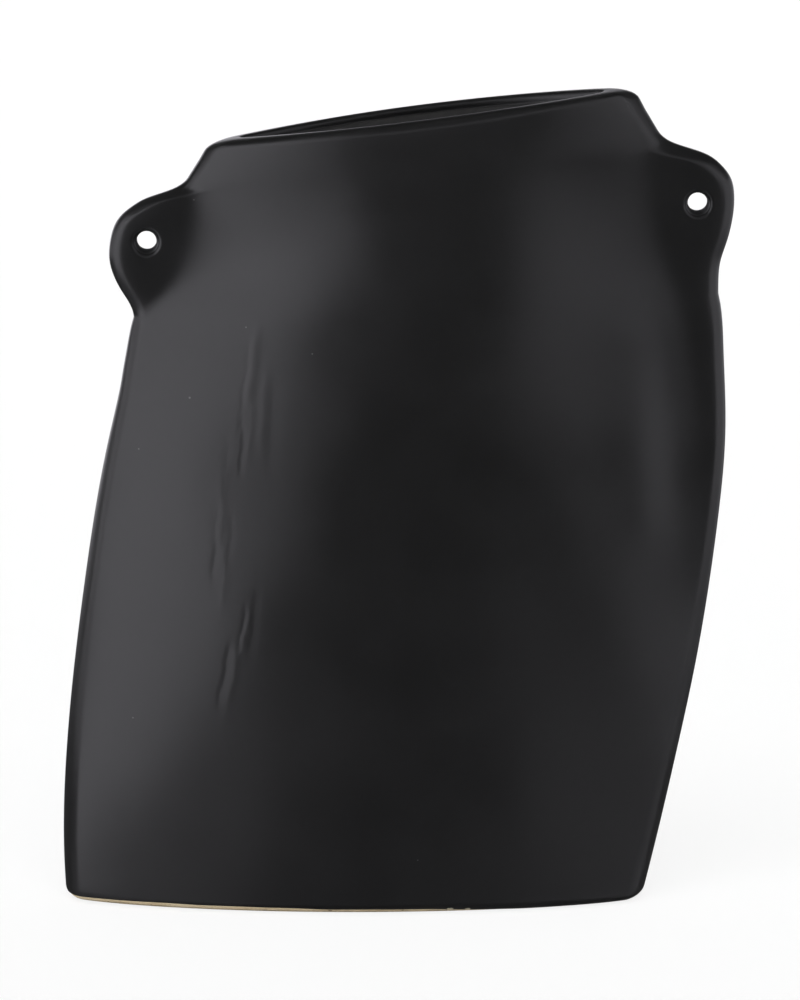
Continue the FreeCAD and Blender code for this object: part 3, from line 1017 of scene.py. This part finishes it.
@dataclass
class OuterGlaze:
    """The coat over the outside, the ears and the lip, down to the glaze line at the foot."""

    body: Body
    columns: Columns
    finish: GlazeFinish
    thickness: float = 0.4
    least_line: float = 0.1
    base_rows: int = 7
    body_rows: int = 110
    ear_rows: int = 52
    neck_rows: int = 3
    round_rows: int = 7
    crest_rows: int = 3
    hidden_rows: int = 2
    inside_depth: float = 3.2
    overlap: float = 0.08  # how far the last rows go behind the liner
    ear_band: CloseBand = CloseBand(0.76, 0.82, 0.97, 1.0, 1.1)
    body_band: CloseBand = CloseBand(0.33, 0.38, 0.94, 0.99, 1.4)
    line_level: float = 0.2  # share of the base's rounding where x is read for the glaze line
    line_waver: float = 0.12
    line_waver_lengths: tuple = (17.0, 5.0)
    crest_rise: float = 0.35
    lip_arch: float = 0.35
    lip_arch_fall: float = 1.9
    lip_arch_height: float = 26.0
    hole_radius: float = 3.6
    front_hole_radius: float = 4.3
    rear_hole_radius: float = 3.9
    hole_throat: float = 2.0
    hole_round: float = 1.5
    patch_half_width: float = 8.3
    hole_rings: int = 5
    flat_share: float = 0.98  # share of the edge's half thickness past which a column lies in the ear's face
    level_tries: int = 6
    drop_height: float = 199.7
    drop_length: float = 6.0
    drop_rise: float = 0.25
    # Where the unevenness fades: up from the base, up to the lip, in from the edge, and near the box's sides
    base_fade: tuple = (2.0, 14.0)
    lip_fade: tuple = (268.0, 284.0)
    edge_fade: tuple = (4.5, 9.0)
    depth_fade: tuple = (39.6, 41.4)
    width_fade: tuple = (117.0, 120.0)
    drop_fade: tuple = (5.0, 12.0)
    waves: tuple = (
        Wave(0.07, 7.5, 31.0, 0.0, 2.1), Wave(0.09, 12.0, -14.0, 1.3, 2.1),
        Wave(0.07, 27.0, 10.0, 0.4, 0.0), Wave(0.10, 19.0, 23.0, 0.0, 4.62),
    )
    # Runs of glaze at the left, mostly from the top down, and last the broad low ridge at the right
    strokes: tuple = (
        Stroke((-50.2, 217), (-53.4, 192), 2.0, 2.2, 0.16),
        Stroke((-52.4, 213), (-55.4, 192), 0.7, 1.2, -0.08),
        Stroke((-55.2, 197), (-56.6, 181), 0.5, 1.0, -0.05),
        Stroke((-46.8, 203), (-48.6, 176), 1.4, 2.0, 0.07),
        Stroke((-43.8, 199), (-45.6, 168), 1.8, 3.0, -0.045),
        Stroke((-55.2, 186), (-56.0, 166), 0.6, 1.2, -0.09),
        Stroke((-51.8, 190), (-53.0, 172), 0.8, 1.0, 0.04),
        Stroke((-60.6, 180), (-62.4, 161), 0.6, 1.2, -0.05),
        Stroke((-62.6, 168), (-64.4, 140), 1.5, 1.9, 0.10),
        Stroke((-64.4, 155), (-66.2, 127), 0.8, 1.4, -0.12),
        Stroke((-59.0, 150), (-60.8, 132), 0.8, 1.2, -0.05),
        Stroke((-61.6, 138), (-62.8, 118), 1.2, 1.6, 0.06),
        Stroke((-53.0, 116), (-55.4, 102), 0.9, 1.3, 0.06),
        Stroke((-54.4, 117), (-57.0, 101), 0.6, 1.0, -0.065),
        Stroke((-50.4, 122), (-52.8, 98), 1.2, 2.0, -0.06),
        Stroke((-57.2, 100), (-61.0, 80), 1.1, 1.3, 0.08),
        Stroke((-60.0, 103), (-64.4, 81), 0.9, 1.4, -0.12),
        Stroke((84.0, 224), (90.5, 136), 12.0, 11.0, 1.0),
    )

    def foot_part(self) -> tuple[np.ndarray, np.ndarray]:
        """Points and levels of the rows round the base, up from the glaze line, which wavers."""
        body = self.body
        low = np.full((1, len(self.columns.middle)), body.base_round * self.line_level)
        foot_x = body.outside(low, self.columns, 0 * low, 0 * low)[0, :, 0]
        long, short = (np.sin(foot_x / length) for length in self.line_waver_lengths)
        line = np.maximum(GLAZE_LINE(foot_x) + self.line_waver * long * short, self.least_line)
        start = np.arccos(1 - line / body.base_round)
        turn = start + (math.pi / 2 - start) * np.linspace(0, 1, self.base_rows + 1)[:, None]
        level = body.base_round * (1 - np.cos(turn))
        return body.outside(level, self.columns, 1 - np.sin(turn), 0 * turn), level

    def side_part(self) -> tuple[np.ndarray, np.ndarray]:
        """Points and levels of the rows up to the ears, along them and up the neck."""
        body = self.body
        ear_low = body.lip_height - body.ear_drop
        neck_low, neck_high = ear_low + body.ear_root, body.lip_height - body.lip_round_height
        to_ears = close_steps(self.body_rows, ROW_SAMPLES, self.body_band)[1:]
        along_ears = close_steps(self.ear_rows, ROW_SAMPLES, self.ear_band)[1:]
        level = np.concatenate([
            body.base_round + (ear_low - body.base_round) * to_ears,
            ear_low + body.ear_root * along_ears,
            np.linspace(neck_low, neck_high, self.neck_rows + 1)[1:],
        ])[:, None] * np.ones(len(self.columns.middle))
        return body.outside(level, self.columns, 0 * level, 0 * level), level

    def lip_part(self) -> tuple[np.ndarray, np.ndarray]:
        """Points and levels of the rows over the lip's outer rounding."""
        body, ones = self.body, np.ones(len(self.columns.middle))
        turn = np.radians(np.linspace(90, 0, self.round_rows + 1))[1:, None] * ones
        level = body.lip_height - body.lip_round_height * (1 - np.cos(turn))
        return body.outside(level, self.columns, 0 * turn, 1 - np.sin(turn)), level

    def mouth_part(self, edge: np.ndarray) -> tuple[np.ndarray, np.ndarray]:
        """Rows over the lip's crest and down its inner rounding.

        Formula: at the share s of the way from the outer rounding to the inner one, the crest lies on the
        straight line between them, raised by crest rise * s * (1 - s).

        Args:
            edge: The last row of the outer rounding.

        Returns:
            The points and their levels.
        """
        body, ones = self.body, np.ones(len(self.columns.middle))
        turn = np.radians(np.linspace(0, 90, self.round_rows + 1))[:, None] * ones
        level = body.lip_height - body.lip_flare_height * (1 - np.cos(turn))
        inner = body.inside(level, self.columns, body.lip_flare * (1 - np.sin(turn)), 0 * turn)
        across = np.linspace(0, 1, self.crest_rows + 1)[1:-1, None, None]
        crest = edge + (inner[0] - edge) * across
        crest[..., 2] += (self.crest_rise * across * (1 - across))[..., 0]
        drop = np.linspace(body.lip_flare_height, self.inside_depth, self.hidden_rows + 1)[1:, None]
        low = body.lip_height - drop * ones
        hidden = body.inside(low, self.columns, 0 * low - self.overlap, 0 * low)
        levels = np.full(crest.shape[:2], body.lip_height), level, low
        return np.concatenate([crest, inner, hidden]), np.concatenate(levels)

    def rows(self) -> tuple[np.ndarray, np.ndarray]:
        """Front-half points of all rows, from the glaze line up over the lip and down inside it.

        Returns:
            The points, as rows, columns and x, y, z, and the level of each.
        """
        parts = [self.foot_part(), self.side_part(), self.lip_part()]
        parts.append(self.mouth_part(parts[-1][0][-1]))
        points, levels = zip(*parts)
        return np.concatenate(points), np.concatenate(levels)

    def arched(self, points: np.ndarray, level: np.ndarray) -> np.ndarray:
        """Raises the lip a little in its middle and lowers it at its ends, as on a lip trimmed by hand.

        Formula: arch * (1 - fall * s * s) over the lip's width, fading out below the lip.

        Args:
            points: Points of rows and columns.
            level: Their levels.

        Returns:
            The moved points.
        """
        middle = self.body.centre(level)
        share = np.clip((points[..., 0] - middle) / self.body.body_reach(level), -1, 1)
        near = smooth(self.body.lip_height - self.lip_arch_height, self.body.lip_height, level)
        moved = points.copy()
        moved[..., 2] += self.lip_arch * (1 - self.lip_arch_fall * share * share) * near
        return moved

    def uneven(self, skin: Skin, level: np.ndarray) -> np.ndarray:
        """Points moved along their normals by the hand-made unevenness and, on the front, by the glaze runs.

        Formula: the waves' rises, plus each run's rise, plus a low drop of glaze on the left edge:
        height * exp(-(distance along the edge / its length) squared).

        Args:
            skin: The smooth sheet.
            level: The level of each point.

        Returns:
            The moved points.
        """
        x, y, z = skin.points.T
        depth = np.abs(y)
        waves = sum(wave.rise(x, z, (y >= 0).astype(float)) for wave in self.waves)
        runs = sum(stroke.rise(x, z) for stroke in self.strokes) * (y < -self.body.edge_half_thickness)
        calm = smooth(*self.base_fade, level) * (1 - smooth(*self.lip_fade, level))
        calm = calm * smooth(*self.edge_fade, depth) * (1 - smooth(*self.depth_fade, depth))
        calm = calm * (1 - smooth(*self.width_fade, np.abs(x)))
        along = (z - self.drop_height) / self.drop_length
        drop = self.drop_rise * np.exp(-(along**2)) * (x < 0) * (1 - smooth(*self.drop_fade, depth))
        return skin.points + skin.normals() * (calm * (waves + runs) + drop)[:, None]

    def pierce(
        self, points: np.ndarray, quads: np.ndarray, side: Side, rows: int
    ) -> tuple[np.ndarray, np.ndarray]:
        """Replaces a block of quads on an ear's front and rear by rings that lead into a round hole.

        Formula: the block's outline is drawn in to a circle, whose points keep their angle about the hole's
        axis. From there a quarter circle turns each ring into the hole, and the front hole meets the rear
        hole in the middle.

        Args:
            points: Points of the whole grid, rows first.
            quads: Quads of the whole grid, with those of the block still in.
            side: The ear's side.
            rows: How many rows the grid has.

        Returns:
            The points with the rings added, and the quads with those of the rings added. The block's own
            quads have their first corner at -1 then.
        """
        count = len(self.columns.middle)
        around = 2 * count - 2
        grid = points[: rows * around].reshape(rows, around, 3)
        axis = np.array(self.body.hole_axis(side))
        front = grid[:, :count]
        away = np.hypot(front[..., 0] - axis[0], front[..., 2] - axis[1])
        middle_column = int(np.argmin(away.min(axis=0)))
        near_row = np.abs(front[: self.outside_rows(), middle_column, 2] - axis[1]) < self.patch_half_width
        row_low, row_high = np.flatnonzero(near_row)[[0, -1]]
        middle_row = (row_low + row_high) // 2
        near_column = np.abs(front[middle_row, :, 0] - axis[0]) < self.patch_half_width
        near_column &= front[middle_row, :, 1] < -self.body.edge_half_thickness * self.flat_share
        column_low, column_high = np.flatnonzero(near_column)[[0, -1]]

        across, up = np.arange(column_low, column_high + 1), np.arange(row_low, row_high + 1)
        stretches = (
            (row_low, across[:-1]),
            (up[:-1], column_high),
            (row_high, across[:0:-1]),
            (up[:0:-1], column_low),
        )
        loop = np.concatenate([
            np.stack(np.broadcast_arrays(row, column), axis=1) for row, column in stretches
        ])
        outline = grid[loop[:, 0], loop[:, 1]]
        spokes = outline[:, [0, 2]] - axis
        radii = np.hypot(*spokes.T)
        spokes /= radii[:, None]

        front_rings = self.rings(outline, spokes, radii, axis, self.front_hole_radius)
        rear_rings = self.rings(outline, spokes, radii, axis, self.rear_hole_radius)
        rear_rings = rear_rings[::-1] * np.array([1, -1, 1])
        middle_ring = (front_rings[-1] + rear_rings[0]) / 2

        first = len(points)
        made = len(loop) * (2 * len(front_rings) + 1)
        front_loop = loop[:, 0] * around + loop[:, 1]
        rear_loop = loop[:, 0] * around + (around - loop[:, 1]) % around
        new = (first + np.arange(made)).reshape(-1, len(loop))
        tube = np.concatenate([front_loop[None], new, rear_loop[None]])
        following = np.roll(tube, -1, axis=1)
        added = np.stack([tube[:-1], following[:-1], following[1:], tube[1:]], axis=-1).reshape(-1, 4)
        points = np.concatenate([points, front_rings.reshape(-1, 3), middle_ring, rear_rings.reshape(-1, 3)])

        block = np.zeros((rows - 1, around), bool)
        block[row_low:row_high, column_low:column_high] = True
        block[row_low:row_high, around - column_high: around - column_low] = True
        quads = quads.copy()
        quads[np.flatnonzero(block.ravel()), 0] = -1
        return points, np.concatenate([quads, added])

    def rings(
        self, outline: np.ndarray, spokes: np.ndarray, radii: np.ndarray, axis: np.ndarray, radius: float
    ) -> np.ndarray:
        """Rings from the outline of the block to the hole's wall, on the front.

        Args:
            outline: The points on the block's outline.
            spokes: Directions from the hole's axis to them.
            radii: Their distances from the axis.
            axis: x and z of the axis.
            radius: The hole's radius at this end.

        Returns:
            An array of rings, points and x, y, z.
        """
        outer = radius + self.hole_round
        rings, insets = [], []
        for share in np.linspace(0, 1, self.hole_rings + 1)[1:]:
            rings.append(radii + (outer - radii) * share)
            insets.append(np.zeros_like(radii))
        for angle in np.radians(np.linspace(90, 0, self.hole_rings + 1))[1:]:
            rings.append(np.full_like(radii, outer - self.hole_round * math.cos(angle)))
            insets.append(np.full_like(radii, self.hole_round * (1 - math.sin(angle))))
        rings.append(np.full_like(radii, self.hole_radius))
        insets.append(np.zeros_like(radii))
        flat = axis + np.array(rings)[..., None] * spokes
        depth = self.ear_depth(flat[..., 0], flat[..., 1])
        past = -outline[:, 1] - self.ear_depth(outline[:, 0], outline[:, 2])
        depth += past * np.linspace(1, 0, self.hole_rings * 2 + 2)[1:, None]
        depth[-1] = self.hole_throat
        return np.stack([flat[..., 0], np.array(insets) - depth, flat[..., 1]], axis=-1)

    def ear_depth(self, x: np.ndarray, z: np.ndarray) -> np.ndarray:
        """Half depth of an ear's face at a place: the edge's, and what is left of the bulge and swell there.

        Formula: the place's level solves level + slope(level) * x = z, found by repeated substitution.

        Args:
            x: x of each place.
            z: z of each place.

        Returns:
            The half depth.
        """
        body = self.body
        level = z
        for _ in range(self.level_tries):
            level = z - body.slope(level) * x
        across = x - body.centre(level)
        ends, middles = {}, {}
        for side in Side:
            ends[side] = np.minimum(body.bulge_reach(level, side), body.outline_reach(level, side))
            middles[side] = body.hollow_reach(level, side)
        edge = body.edge_thickness(level)
        bulge = body.bulge(level, across, body.half_depth(level) - edge, ends, middles, True)
        return edge + bulge + body.swell(level, across)

    def outside_rows(self) -> int:
        """How many rows lie on the outside, below the lip's rounding."""
        return self.base_rows + 1 + self.body_rows + self.ear_rows + self.neck_rows

    def build(self) -> None:
        """Builds and dresses the coat."""
        front, level = self.rows()
        grid = both_halves(self.arched(front, level))
        levels = np.concatenate([level, level[:, -2:0:-1]], axis=1)
        rows, around = grid.shape[:2]
        skin = Skin(grid.reshape(-1, 3), grid_quads(rows, around).reshape(-1, 4))
        points = self.uneven(skin, levels.ravel())
        quads = skin.quads
        for side in Side:
            points, quads = self.pierce(points, quads, side, rows)
        quads = quads[quads[:, 0] >= 0]
        used = np.unique(quads)
        renumbered = np.full(len(points), -1)
        renumbered[used] = np.arange(len(used))
        shell, sharp = Skin(points[used], renumbered[quads]).turned_in(self.thickness)
        piece = make_piece("outer_glaze_coat", shell, sharp)
        piece.data.materials.append(self.finish.material())
        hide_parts("outer_glaze")


@dataclass
class LinerGlaze:
    """The glaze inside the hollow, from below the lip down over the floor."""

    body: Body
    columns: Columns
    finish: GlazeFinish
    thickness: float = 0.28
    inside_depth: float = 2.6
    wall_rows: int = 44
    round_rows: int = 6
    floor_shares: tuple = (0.7, 0.4)

    def build(self) -> None:
        """Builds and dresses the liner.

        Formula: level curves of the hollow go down its wall, a quarter circle turns them onto the floor,
        and there they are drawn in to the middle plane, where the front half and the rear half share their
        points.
        """
        body, count = self.body, len(self.columns.middle)
        bottom = body.floor_top + body.liner
        start = bottom + body.hollow_base_round
        top = body.lip_height - self.inside_depth
        plain = np.linspace(top, start, self.wall_rows + 1)[:, None] * np.ones(count)
        turn = np.radians(np.linspace(90, 0, self.round_rows + 1))[1:, None] * np.ones(count)
        wall = body.inside(plain, self.columns, 0 * plain, 0 * plain)
        low = bottom + body.hollow_base_round * (1 - np.cos(turn))
        curve = body.inside(low, self.columns, 0 * turn, 1 - np.sin(turn))
        flat = curve[-1] * np.stack([[1, share, 1] for share in self.floor_shares])[:, None, :]
        grid = both_halves(np.concatenate([wall, curve, flat]))
        rows, around = grid.shape[:2]
        seam = curve[-1] * np.array([1, 0, 1])
        first = rows * around
        here = np.arange(around)
        meets = first + np.where(here < count, here, around - here)
        following = np.roll(meets, -1)
        last = (rows - 1) * around
        floor = np.stack([last + here, last + np.roll(here, -1), following, meets], axis=1)
        quads = np.concatenate([grid_quads(rows, around).reshape(-1, 4), floor])
        skin = Skin(np.concatenate([grid.reshape(-1, 3), seam]), quads)
        shell, sharp = skin.thickened(self.thickness)
        piece = make_piece("liner_glaze_coat", shell, sharp)
        piece.data.materials.append(self.finish.material())
        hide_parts("inner_glaze")


@dataclass
class ClayBody:
    """The part's own solids of bare clay, kept as they are and dressed."""

    finish: StonewareFinish
    nodes: tuple = ("foot_rim", "floor_slab", "front_wall", "rear_wall", "lip_ring", "left_ear", "right_ear")

    def build(self) -> None:
        """Dresses each solid."""
        material = self.finish.material()
        for name in self.nodes:
            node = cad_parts[name]
            node.data.materials.clear()
            node.data.materials.append(material)
            log.info("%s: dressed", name)


# Studio


@dataclass(frozen=True)
class Card:
    """A soft upright sheet of light that the glaze mirrors, bent round the vase.

    Angles are degrees: from the front round to the right, and above the horizon, seen from the vase. The
    light fades in from the low edge over the fade angle.
    """

    name: str
    from_angle: float
    to_angle: float
    low: float
    high: float
    strength: float
    fade: float = 6.0
    colour: tuple = (1.0, 0.985, 1.055)
    radius: float = 1.6
    centre_height: float = 0.15
    columns: int = 24
    rows: int = 8

    def height(self, elevation: float) -> float:
        """Height of the card's surface at an elevation."""
        return self.centre_height + self.radius * math.tan(math.radians(elevation))

    def build(self) -> None:
        """Builds the card.

        Formula: radius * sin(angle), -radius * cos(angle), centre height + radius * tan(elevation).
        """
        angle = np.radians(np.linspace(self.from_angle, self.to_angle, self.columns + 1))
        rise = np.radians(np.linspace(self.low, self.high, self.rows + 1))[:, None]
        x, y = self.radius * np.sin(angle) + 0 * rise, -self.radius * np.cos(angle) + 0 * rise
        z = self.centre_height + self.radius * np.tan(rise) + 0 * angle
        points = np.stack([x, y, z], axis=-1).reshape(-1, 3)
        quads = grid_quads(self.rows + 1, self.columns + 1)[:, :-1].reshape(-1, 4)
        material = bpy.data.materials.new(self.name)
        graph = Graph(material)
        _, (_, _, up) = graph.coordinates()
        lit = up.step(self.height(self.low), self.height(self.low + self.fade))
        colour = graph.mix(lit, (0, 0, 0), self.colour)
        glow = graph.read("ShaderNodeEmission", 0, None, {"Color": colour, "Strength": self.strength})
        graph.node("ShaderNodeOutputMaterial", None, {"Surface": glow})
        material.cycles.emission_sampling = "NONE"
        mesh = bpy.data.meshes.new(self.name)
        mesh.from_pydata(points.tolist(), [], quads.tolist())
        mesh.materials.append(material)
        made = placed(self.name, mesh)
        made.visible_camera = made.visible_diffuse = made.visible_shadow = made.visible_transmission = False


@dataclass
class Studio:
    """A plain white cove, soft light and the camera. Lengths are metres, angles are degrees.

    The left light is cards stacked on each other that end at different angles, and dimmer inner cards that
    carry on from them to 30 degrees left of the front.
    """

    floor_rings: tuple = (0.001, 0.5, 2.0)
    floor_radius: float = 6.0
    cove_radius: float = 2.5
    cove_height: float = 9.0
    cove_steps: int = 12
    spoke_angle: int = 5
    white: tuple = (0.93, 0.93, 0.93)
    glow: float = 0.85  # share of plain white that the camera and reflections see in the cove
    lamp_power: float = 3.8
    lamp_spread: float = 50.0
    lamp_tilt: float = 38.0
    lamp_turn: float = -8.0
    room_light: float = 0.06
    sensor: float = 36.0
    clip: tuple = (0.05, 60.0)
    target: tuple = (0.001515, 0.0, 0.150)
    distance: float = 2.4
    elevation: float = 11.5
    lens: float = 236.16
    cards: tuple = (
        Card("left_card", -78.0, -34.5, -26.0, -1.0, 1.84, 10.0),
        Card("left_high_card", -78.0, -45.0, -1.0, 9.0, 1.84, 0.2),
        Card("left_top_card", -78.0, -40.0, 9.0, 17.0, 1.84, 0.2),
        Card("left_crown_card", -78.0, -35.0, 17.0, 36.0, 1.90, 0.2),
        Card("left_inner_card", -34.5, -30.0, -24.0, -1.0, 0.60, 7.0),
        Card("left_inner_high_card", -45.0, -30.0, -1.0, 9.0, 0.85, 0.2),
        Card("left_inner_top_card", -40.0, -30.0, 9.0, 17.0, 0.90, 0.2),
        Card("left_inner_crown_card", -35.0, -30.0, 17.0, 36.0, 0.60, 0.2),
        Card("left_side_card", -112.0, -78.0, -14.0, 12.0, 1.2, 10.0),
        Card("left_neck_card", -94.0, -78.0, 12.0, 44.0, 1.2, 6.0),
        Card("left_low_card", -66.0, -18.0, -65.0, -20.0, 0.50, 2.0, radius=1.7),
        Card("left_low_side_card", -110.0, -66.0, -65.0, -20.0, 0.30, 2.0, radius=1.7),
        Card("right_card", 34.0, 60.0, -4.0, 45.0, 0.66),
        Card("right_side_card", 60.0, 84.0, -22.0, 45.0, 0.98, 6.0),
        Card("right_far_card", 84.0, 132.0, -22.0, 20.0, 0.85, 8.0),
        Card("right_low_card", 30.0, 116.0, -65.0, -18.0, 0.38, 2.0, radius=1.7),
        Card("front_low_card", -18.0, 30.0, -65.0, -18.0, 0.11, 2.0, radius=1.7),
        Card("front_high_card", -60.0, 60.0, 22.0, 33.0, 0.80, 3.0, radius=1.7),
        Card("rear_left_card", -178.0, -128.0, -10.0, 20.0, 1.5),
        Card("rear_right_card", 128.0, 182.0, -10.0, 20.0, 0.80),
    )

    def cove(self) -> None:
        """Builds the floor, which curves up into a round white wall.

        Formula: a profile of radius and height, carried round the vertical axis: flat, then a quarter
        circle, then straight up.
        """
        turn = np.radians(np.linspace(0, 90, self.cove_steps + 1))
        radius = np.concatenate([self.floor_rings, self.floor_radius + self.cove_radius * np.sin(turn)])
        height = np.concatenate([np.zeros(len(self.floor_rings)), self.cove_radius * (1 - np.cos(turn))])
        radius = np.append(radius, radius[-1])[:, None]
        height = np.append(height, self.cove_height)[:, None]
        around = np.radians(np.arange(0, 360, self.spoke_angle))
        points = np.stack([radius * np.cos(around), radius * np.sin(around), height + 0 * around], axis=-1)
        quads = grid_quads(len(radius), len(around)).reshape(-1, 4)[:, ::-1]
        mesh = bpy.data.meshes.new("studio_floor")
        mesh.from_pydata(points.reshape(-1, 3).tolist(), [], quads.tolist() + [list(range(len(around)))])
        mesh.shade_smooth()
        material = bpy.data.materials.new("studio_white")
        graph = Graph(material)
        path = graph.node("ShaderNodeLightPath")
        rays = ("Is Camera Ray", "Is Glossy Ray", "Is Transmission Ray")
        seen = sum(Socket(graph, path.outputs[name]) for name in rays)
        matt = graph.read("ShaderNodeBsdfDiffuse", 0, None, {"Color": self.white})
        white = graph.read("ShaderNodeEmission", 0, None, {"Color": (1, 1, 1), "Strength": 1.0})
        shown = graph.read("ShaderNodeMixShader", 0, None, {0: seen.least(1) * self.glow, 1: matt, 2: white})
        graph.node("ShaderNodeOutputMaterial", None, {"Surface": shown})
        mesh.materials.append(material)
        floor = placed("studio_floor", mesh)
        floor.visible_glossy = False

    def lights(self) -> None:
        """Sets a soft lamp high in front, so that the shadow falls behind, and a dim room."""
        lamp = bpy.data.lights.new("soft_lamp", "SUN")
        lamp.energy, lamp.angle = self.lamp_power, math.radians(self.lamp_spread)
        holder = placed("soft_lamp", lamp)
        holder.rotation_euler = (math.radians(self.lamp_tilt), 0, math.radians(self.lamp_turn))
        holder.visible_glossy = False
        world = bpy.data.worlds.new("room")
        bpy.context.scene.world = world
        graph = Graph(world)
        dim = graph.read("ShaderNodeBackground", 0, None, {"Color": (1, 1, 1), "Strength": self.room_light})
        graph.node("ShaderNodeOutputWorld", None, {"Surface": dim})

    def camera(self) -> None:
        """Sets the camera at the photograph's viewing angle."""
        data = bpy.data.cameras.new("camera")
        data.lens, data.sensor_width, data.sensor_fit = self.lens, self.sensor, "AUTO"
        data.clip_start, data.clip_end = self.clip
        tilt = math.radians(self.elevation)
        away = np.array([0, -math.cos(tilt), math.sin(tilt)]) * self.distance
        holder = placed("camera", data)
        holder.location = np.array(self.target) + away
        holder.rotation_euler = (math.pi / 2 - tilt, 0, 0)
        bpy.context.scene.camera = holder

    def build(self) -> None:
        """Builds the studio."""
        self.cove()
        for card in self.cards:
            card.build()
        self.lights()
        self.camera()
        bpy.context.scene.view_settings.view_transform = "Standard"


def plain(corners: tuple) -> list[list[float]]:
    """The two corners of a box as plain lists."""
    return [[float(value) for value in corner] for corner in corners]


def main() -> None:
    """Builds the vase and the studio."""
    logging.basicConfig(level=logging.INFO, format="%(name)s: %(message)s")
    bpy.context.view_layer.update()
    body = Body()
    columns = Columns.spaced(edge_steps=7, span_steps=176)
    ClayBody(StonewareFinish()).build()
    coat = GlazeFinish(
        name="satin_black_glaze", slot=Slot.COAT,
        specks=(
            (-74.6, 191.5, 0.4), (-93.4, 171.5, 0.3), (-54.0, 218.0, 0.3), (-30.0, 210.0, 0.3),
            (-73.0, 262.0, 0.25), (-96.0, 73.0, 0.3), (8.0, 22.0, 0.3),
        ),
        chips=(
            (12.5, 1.2, 1.6, 0.5), (20.0, 1.9, 1.3, 0.55), (17.0, 0.9, 0.7, 0.4), (26.5, 1.6, 1.2, 0.5),
        ),
        holes=tuple(body.hole_axis(side) for side in Side),
    )
    OuterGlaze(body, columns, coat).build()
    # The liner's colours are a painted reflection: a dark grey, far lighter than the coat's black, stands in
    # for the light that the inner rear wall mirrors inside the mouth.
    liner = GlazeFinish(
        name="thin_black_glaze_painted_reflection", slot=Slot.LINER,
        dark=(0.050, 0.049, 0.050), light=(0.072, 0.071, 0.072), roughness=0.42,
    )
    LinerGlaze(body, columns, liner).build()
    Studio().build()


if __name__ == "__main__":
    main()
